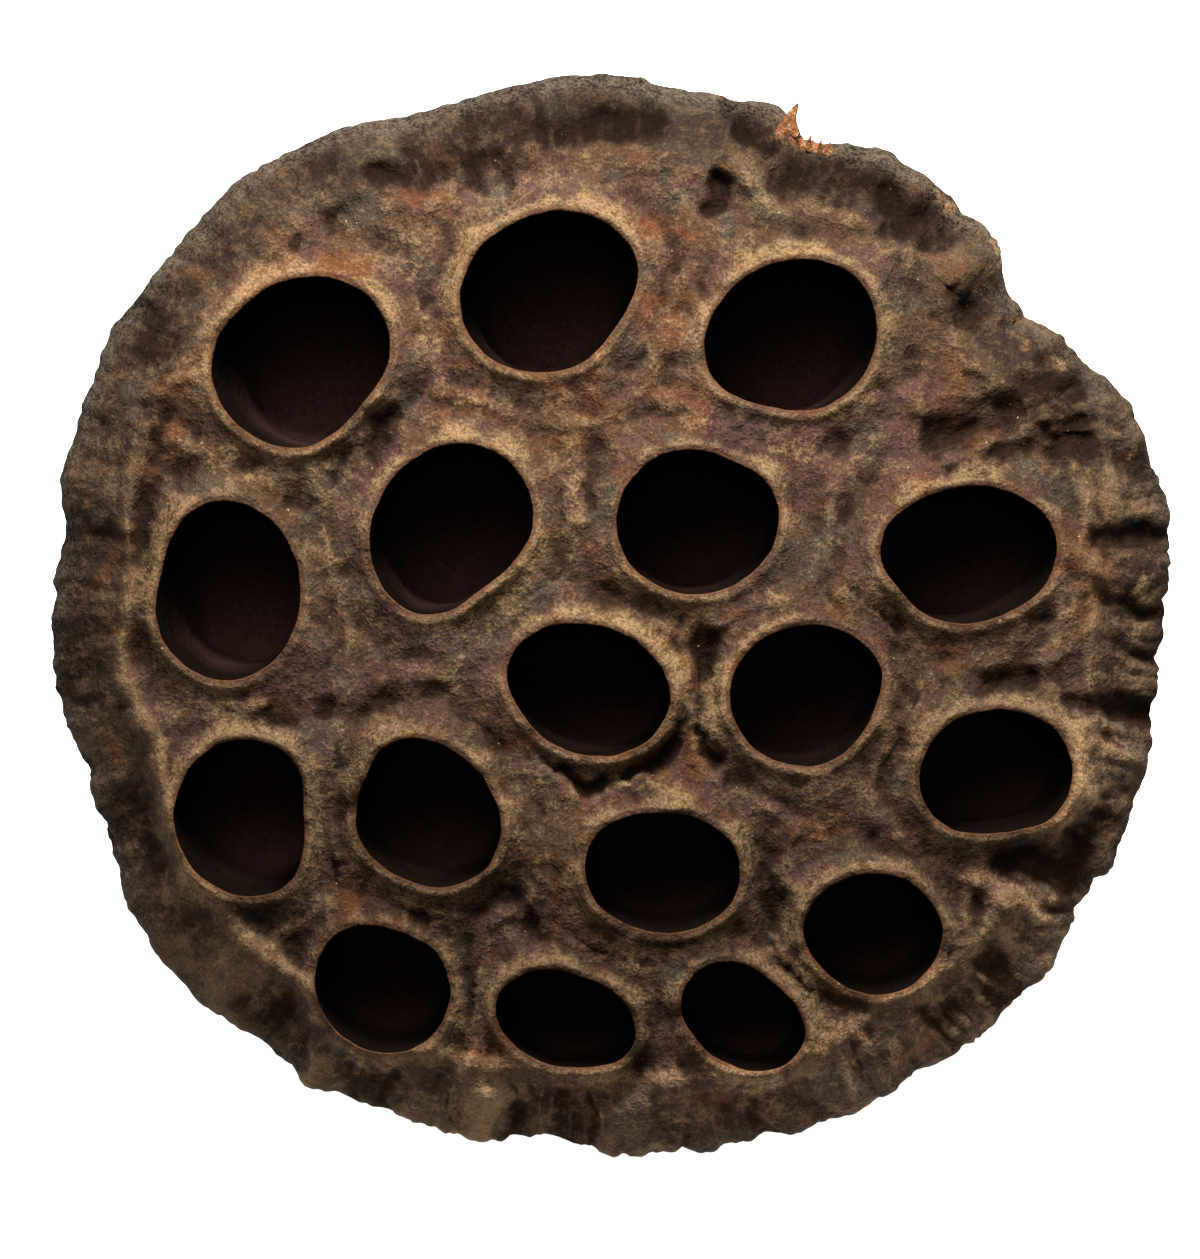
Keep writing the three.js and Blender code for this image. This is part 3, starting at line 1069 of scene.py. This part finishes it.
def skin_masks(mesh, relief, broken, fresh):
    """The numbers at each point that tell the material what is there, and where it paints light and shade.
    """
    inner = np.where(relief.on_face, ease(-relief.edge, -0.45, 0), ease(-relief.depth, -0.9, -0.2))
    # Painted light: the deep chamber walls are given more of their lighter colour towards the bottom of the
    # view and less towards the top, as the light from the top falls into them.
    lit = 0.74 - 0.26 * relief.points[:, 1] / 30
    return {
        "lip": relief.lip_paint(),
        "inner": inner * (relief.on_face | relief.in_chamber),
        "midway": relief.between_mouths() * relief.on_face,
        "shoulder": np.clip(relief.shoulder_line() + relief.form, 0, 1) * relief.on_face,
        # Where grooves and the rim's folds dip; the material paints shade into them.
        "groove": np.clip(-relief.form, 0, 1) * relief.on_face,
        "fold": relief.folds() + relief.ribs() + 0.6 * relief.form,
        "rim": relief.rim,
        "brink": relief.brink_line(),
        "ribbed": side_share(relief.angle, RIBS),
        "tone": relief.painted_light(),
        # The chambers' lining starts just below the mouth's edge; its shallow walls are painted near-black
        # as painted shade.
        "chamber": relief.in_chamber * ease(relief.depth, 0.1, 0.9),
        "deep": ease(relief.depth, 5, 13) * lit * relief.in_chamber,
        "side": relief.on_side * ease(relief.depth, 0, 14),
        "cut": relief.zone == CUT,
        "canal": relief.canals(),
        "torn": broken,
        "fresh": fresh,
        # How hollow the skin is, at a small and a broad scale; the material paints shade into these hollows.
        "crease": hollowness(mesh, 5),
        "valley": hollowness(mesh, 60),
    }


# ---- Shader expressions ----


class Value:
    """An output of a shader node. Sums and products of values add Math nodes."""

    def __init__(self, surface, socket):
        self.surface = surface
        self.socket = socket

    def maths(self, operation, first, second):
        return self.surface.node("ShaderNodeMath", "Value", {"operation": operation}, {0: first, 1: second})

    def __add__(self, other):
        return self.maths("ADD", self, other)

    __radd__ = __add__

    def __rsub__(self, other):
        return self.maths("SUBTRACT", other, self)

    def __mul__(self, other):
        return self.maths("MULTIPLY", self, other)

    __rmul__ = __mul__


class Surface:
    """A material and the nodes that paint it."""

    def __init__(self, name):
        self.material = bpy.data.materials.new(name)
        self.material.use_nodes = True
        self.tree = self.material.node_tree
        self.tree.nodes.clear()
        self.places = self.node("ShaderNodeTexCoord", "Object")

    def node(self, kind, output, settings=None, sockets=None):
        """Adds a node: its settings first, then the values or links of its sockets. Gives an output."""
        node = self.tree.nodes.new(kind)
        for name, value in (settings or {}).items():
            setattr(node, name, value)
        for name, value in (sockets or {}).items():
            socket = node.inputs[name]
            if isinstance(value, Value):
                self.tree.links.new(value.socket, socket)
            elif socket.type == "RGBA":
                socket.default_value = (*value, 1)
            else:
                socket.default_value = value
        return None if output is None else Value(self, node.outputs[output])

    def attribute(self, name, output="Fac"):
        """A number, or a vector, that the mesh keeps at every point."""
        return self.node("ShaderNodeAttribute", output, {"attribute_name": name})

    def mottle(self, size, detail=3, roughness=0.55, warp=0.0, along=None, shift=0.0):
        """Noise from 0 to 1 with patches about size millimetres across."""
        places = along or self.places
        if shift:
            moved = {0: places, 1: (shift, shift, shift)}
            places = self.node("ShaderNodeVectorMath", "Vector", {"operation": "ADD"}, moved)
        scale = 1 / size if along else 1 / (size * MM)
        sockets = {"Vector": places, "Scale": scale, "Detail": detail}
        sockets |= {"Roughness": roughness, "Distortion": warp}
        return self.node("ShaderNodeTexNoise", "Fac", None, sockets)

    def between(self, value, low, high):
        """0 below low, 1 above high, smooth between; low may be the larger."""
        settings = {"interpolation_type": "SMOOTHSTEP", "clamp": True}
        sockets = {"Value": value, "From Min": low, "From Max": high}
        return self.node("ShaderNodeMapRange", "Result", settings, sockets)

    def paint(self, under, over, share, blend="MIX"):
        """One colour over another."""
        settings = {"data_type": "RGBA", "blend_type": blend}
        return self.node("ShaderNodeMix", 2, settings, {0: share, 6: under, 7: over})

    def coats(self, under, *layers):
        """Several colours over one another, each with its share."""
        for over, share in layers:
            under = self.paint(under, over, share)
        return under

    def shade(self, under, value, share):
        """A colour made darker or lighter by a value."""
        grey = self.node("ShaderNodeCombineColor", "Color", None, {0: value, 1: value, 2: value})
        return self.paint(under, grey, share, "MULTIPLY")

    def finish(self, sockets):
        """Joins the shader to the output."""
        shader = self.node("ShaderNodeBsdfPrincipled", "BSDF", None, sockets)
        self.node("ShaderNodeOutputMaterial", None, None, {"Surface": shader})
        return self.material

    def bumped(self, bumps):
        """A normal from heights, each with its depth in millimetres."""
        sockets = {"Strength": 1.0}
        for height, distance in bumps:
            sockets |= {"Height": height, "Distance": distance * MM}
            sockets["Normal"] = self.node("ShaderNodeBump", "Normal", None, sockets)
        return sockets["Normal"]


def scaled(share, shade):
    """A colour with every part multiplied by a share."""
    return tuple(share * part for part in shade)


def dried_skin(colours):
    """The pod's one material: masks say where its lips, rim, chambers and cut end are, and where light and
    shade are painted.
    """
    s = Surface("dried_pod_skin")
    skin, ridge, lip, painted_shade_and_spots, blush, rust, rim, bloom, torn, chamber, back, pith = (
        tuple(getattr(colours, name)) for name in colours.__annotations__
    )
    on_rim, in_chamber, on_side = s.attribute("rim"), s.attribute("chamber"), s.attribute("side")
    crease, groove, fold = s.attribute("crease"), s.attribute("groove"), s.attribute("fold")
    ribbed, brink = s.attribute("ribbed"), s.attribute("brink")
    flow = s.attribute("flow", "Vector")

    # Patches of every size, largest first, and streaks that run out over the rim.
    broad = s.mottle(9, 4, 0.6, 0.6)
    other = s.mottle(6, 5, 0.62, 0.6, shift=4.3)
    clouds = s.mottle(5, 3, 0.6, 0.5, shift=1.7)
    blotch = s.mottle(3.6, 5, 0.62, 0.3, shift=9.1)
    patch = s.mottle(2.4, 5, 0.64, 0.2)
    fleck = s.mottle(0.8, 3, 0.6, shift=3.1)
    grain = s.mottle(0.26, 3, 0.65, shift=7.7)
    streak = s.mottle(1.3, 4, 0.6, along=flow)
    long_streak = s.mottle(2.6, 5, 0.62, 0.5, along=flow, shift=2.9)
    dark = s.between(streak * 0.5 + patch * 0.3 + fleck * 0.2, 0.56, 0.45)
    worn = s.between(patch * 0.6 + fleck * 0.4 + grain * 0.3, 0.63, 0.81)
    rubbed = s.between(fleck * 0.5 + grain * 0.35 + patch * 0.25, 0.44, 0.64)
    coarse = patch * 0.6 + fleck * 0.4
    fine = grain * 0.6 + fleck * 0.4

    face = s.coats(
        skin,
        (blush, s.between(broad, 0.45, 0.58) * 0.9),
        (rust, s.between(other, 0.53, 0.65) * 0.9),
        (bloom, s.between(other, 0.47, 0.35) * 0.85),
        (ridge, worn * (0.45 + 0.4 * s.attribute("midway"))),
        (ridge, s.between(crease, -0.02, -0.13) * (0.15 + 0.5 * worn)),
    )
    edge = s.coats(
        rim,
        (skin, s.between(coarse, 0.48, 0.62) * 0.6),
        (skin, s.between(streak, 0.47, 0.66) * ribbed * 0.8),
        (rust, s.between(other, 0.54, 0.66) * 0.6),
        (bloom, s.between(clouds, 0.48, 0.66) * 0.7),
        (ridge, s.between(streak * 0.7 + fleck * 0.4, 0.60, 0.80) * ribbed * 0.7),
        (ridge, s.between(blotch, 0.5, 0.64) * ribbed * 0.55),
        (ridge, worn * 0.25),
        (bloom, brink * s.between(fine, 0.42, 0.6) * 0.7),
        # Painted shade in the troughs of the rim's folds and ribs.
        (painted_shade_and_spots, s.between(fold, 0.05, -0.55) * (0.5 + 0.45 * dark)),
        (ridge, s.between(fold, 0.15, 0.75) * ribbed * (0.2 + 0.6 * patch)),
    )
    underside = s.coats(
        back,
        (skin, s.between(broad, 0.42, 0.58) * 0.65),
        (rust, s.between(other, 0.53, 0.66) * 0.4),
        (rim, s.between(long_streak, 0.52, 0.36) * 0.55),
        (ridge, s.between(long_streak * 0.6 + fleck * 0.4, 0.52, 0.70) * 0.5),
        (ridge, s.between(crease, -0.02, -0.14) * 0.6),
        # Painted shade in the underside's creases.
        (painted_shade_and_spots, s.between(crease, 0.02, 0.16) * 0.75),
    )
    below = s.between(on_side + 0.5 * long_streak + 0.3 * patch, 0.45, 0.85) * s.between(on_side, 0.0, 0.1)
    # Painted shade and light in the chambers: the walls near the mouth near-black, the deep walls in the
    # chamber colour, more of it in chambers lower in the view.
    lining = s.paint(scaled(0.35, painted_shade_and_spots), chamber, s.attribute("deep") * (0.5 + fleck))
    fibres = s.coats(
        lip,
        (torn, s.between(s.attribute("fresh") + 0.6 * fleck, 0.3, 0.8)),
        (skin, s.between(grain * 0.4 + fleck * 0.6, 0.54, 0.40) * 0.9),
        (pith, s.between(fine, 0.54, 0.66) * 0.5),
    )
    cut_end = s.coats(
        pith,
        (back, s.between(patch * 0.5 + fleck * 0.5, 0.42, 0.6)),
        # Painted shade: the stem's shallow canals are painted near-black, as deep holes would look.
        (painted_shade_and_spots, s.attribute("canal") * 0.95),
    )
    paint = s.coats(
        face,
        (edge, on_rim * s.between(broad + 0.7 * on_rim, 0.5, 0.95)),
        (ridge, s.attribute("shoulder") * (0.3 + 0.5 * worn)),
        (painted_shade_and_spots, s.between(patch * 0.5 + fleck * 0.25 + grain * 0.25, 0.45, 0.36) * 0.45),
        # Painted shade: the colour darkened in creases, broad valleys and grooves.
        (painted_shade_and_spots, s.between(crease, 0.01, 0.14) * 0.65),
        (painted_shade_and_spots, s.between(s.attribute("valley"), 0.02, 0.6) * (0.45 + 0.5 * fleck)),
        (painted_shade_and_spots, s.between(groove, 0.1, 0.9) * (0.45 + 0.5 * dark)),
        (underside, below),
        (lip, s.between(s.attribute("lip"), 0.1, 0.95) * (0.16 + 0.78 * rubbed)),
        (rust, s.attribute("inner") * (0.3 + 0.7 * patch)),
        (lining, in_chamber),
    )
    # Painted light and shade: the colour made darker towards the bottom of the face and lighter on the lower
    # rim.
    paint = s.shade(paint, s.attribute("tone"), 1 - in_chamber)
    paint = s.coats(
        paint,
        (scaled(2.3, bloom), brink * s.between(fine, 0.40, 0.60) * (0.70 - 0.7 * ribbed)),
        (fibres, s.attribute("torn")),
        (cut_end, s.attribute("cut")),
    )
    paint = s.shade(paint, s.between(grain, 0.28, 0.74) * 0.6 + 0.70, 1.0)
    spots = {"Vector": s.places, "Scale": 1 / (1.3 * MM), "Randomness": 1.0}
    speck = s.between(s.node("ShaderNodeTexVoronoi", "Distance", None, spots), 0.08, 0.03)
    speck = speck * s.between(fleck, 0.42, 0.6)
    paint = s.paint(paint, pith, speck * (1 - in_chamber) * (0.7 - 0.45 * on_rim))

    return s.finish(
        {
            "Base Color": paint,
            "Roughness": 0.08 * grain + (0.90 - 0.22 * s.between(patch, 0.45, 0.75)),
            "Normal": s.bumped([(patch, 0.40), (fleck, 0.30), (grain, 0.11)]),
            "Specular IOR Level": 0.02,
        }
    )


def plain_floor(look):
    glow = {"Emission Color": (1.0, 1.0, 1.0), "Emission Strength": look.glow}
    return Surface("pale_floor").finish({"Base Color": tuple(look.floor), "Roughness": 0.9, **glow})


# ---- Operators ----


class LOTUS_OT_pod(bpy.types.Operator):
    """Grow the pod's skin over the plain solid"""

    bl_idname = "lotus.pod"
    bl_label = "Pod"

    def execute(self, context):
        shape = context.scene.pod_shape
        solid = Solid(shape)
        skin = grow_skin(solid)
        mesh = mesh_from("pod_skin", skin)
        if len(mesh.vertices) != len(skin.points):
            raise RuntimeError("the skin's mesh lost points")
        relief = Relief(solid, skin, shape)
        broken, fresh = relief.broken()
        raise_forms(mesh, relief, broken)
        for name, values in skin_masks(mesh, relief, broken, fresh).items():
            mask = mesh.attributes.new(name, "FLOAT", "POINT")
            mask.data.foreach_set("value", np.asarray(values, np.float32))
        flow = mesh.attributes.new("flow", "FLOAT_VECTOR", "POINT")
        along = turned(MEAN_RIM, relief.angle, relief.run_in * 0.16)
        flow.data.foreach_set("vector", along.astype(np.float32).ravel())
        pod = bpy.data.objects.new("pod_skin", mesh)
        context.scene.collection.objects.link(pod)
        mesh.materials.append(dried_skin(context.scene.pod_colours))
        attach(pod, "root")
        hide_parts(POD_NODE)
        return {"FINISHED"}


class LOTUS_OT_stage(bpy.types.Operator):
    """Set the pale floor, the soft lamps and the camera that looks straight down"""

    bl_idname = "lotus.stage"
    bl_label = "Stage"

    def execute(self, context):
        look = context.scene.stage_look
        add_floor(context, look)
        add_lamp(context, "key", look.key_power, KEY_PLACE, KEY_SIZE)
        add_lamp(context, "fill", look.fill_power, FILL_PLACE, FILL_SIZE)
        add_camera(context, look)
        set_world(context)
        return {"FINISHED"}


def add_floor(context, look):
    mesh = bpy.data.meshes.new("floor")
    signs = ((-1, -1), (1, -1), (1, 1), (-1, 1))
    corners = [(x * FLOOR_REACH, y * FLOOR_REACH, FLOOR_LEVEL) for x, y in signs]
    mesh.from_pydata(corners, [], [(0, 1, 2, 3)])
    mesh.materials.append(plain_floor(look))
    floor = bpy.data.objects.new("floor", mesh)
    context.scene.collection.objects.link(floor)


def add_lamp(context, name, power, place, size):
    data = bpy.data.lights.new(name, "AREA")
    data.energy = power
    data.shape = "DISK"
    data.size = size
    lamp = bpy.data.objects.new(name, data)
    lamp.location = place
    aim = Vector((0, 0, CAD_BOX[1].z)) - lamp.location
    lamp.rotation_euler = aim.to_track_quat("-Z", "Y").to_euler()
    context.scene.collection.objects.link(lamp)


def add_camera(context, look):
    data = bpy.data.cameras.new("camera")
    data.sensor_fit = "HORIZONTAL"
    data.sensor_width = 36
    data.lens = look.lens / MM
    data.clip_start = CLIP_START
    camera = bpy.data.objects.new("camera", data)
    away = look.view_width * data.lens / data.sensor_width
    level = CAD_BOX[1].z - FOCUS_DROP
    camera.location = (look.aim_right, look.aim_up, level + away)
    context.scene.collection.objects.link(camera)
    context.scene.camera = camera


def set_world(context):
    world = bpy.data.worlds.new("studio")
    world.use_nodes = True
    sky = world.node_tree.nodes["Background"]
    sky.inputs["Color"].default_value = (1, 1, 1, 1)
    sky.inputs["Strength"].default_value = SKY_STRENGTH
    context.scene.world = world
    context.scene.view_settings.view_transform = "Standard"


# ---- Panel and registering ----


class LOTUS_PT_panel(bpy.types.Panel):
    bl_label = "Dried Lotus Pod"
    bl_idname = "LOTUS_PT_panel"
    bl_space_type = "VIEW_3D"
    bl_region_type = "UI"
    bl_category = "Lotus Pod"

    def draw(self, context):
        for group in ("pod_shape", "pod_colours", "stage_look"):
            settings = getattr(context.scene, group)
            box = self.layout.box()
            for name in settings.__annotations__:
                box.prop(settings, name)
        for operator in OPERATORS:
            self.layout.operator(operator.bl_idname)


GROUPS = {"pod_shape": PodShape, "pod_colours": PodColours, "stage_look": StageLook}
OPERATORS = (LOTUS_OT_pod, LOTUS_OT_stage)


def register():
    for cls in (*GROUPS.values(), *OPERATORS, LOTUS_PT_panel):
        bpy.utils.register_class(cls)
    for name, cls in GROUPS.items():
        setattr(bpy.types.Scene, name, PointerProperty(type=cls))


def unregister():
    for name in GROUPS:
        delattr(bpy.types.Scene, name)
    for cls in (LOTUS_PT_panel, *reversed(OPERATORS), *reversed(list(GROUPS.values()))):
        bpy.utils.unregister_class(cls)


def main():
    register()
    bpy.ops.lotus.pod()
    bpy.ops.lotus.stage()


if __name__ == "__main__":
    main()
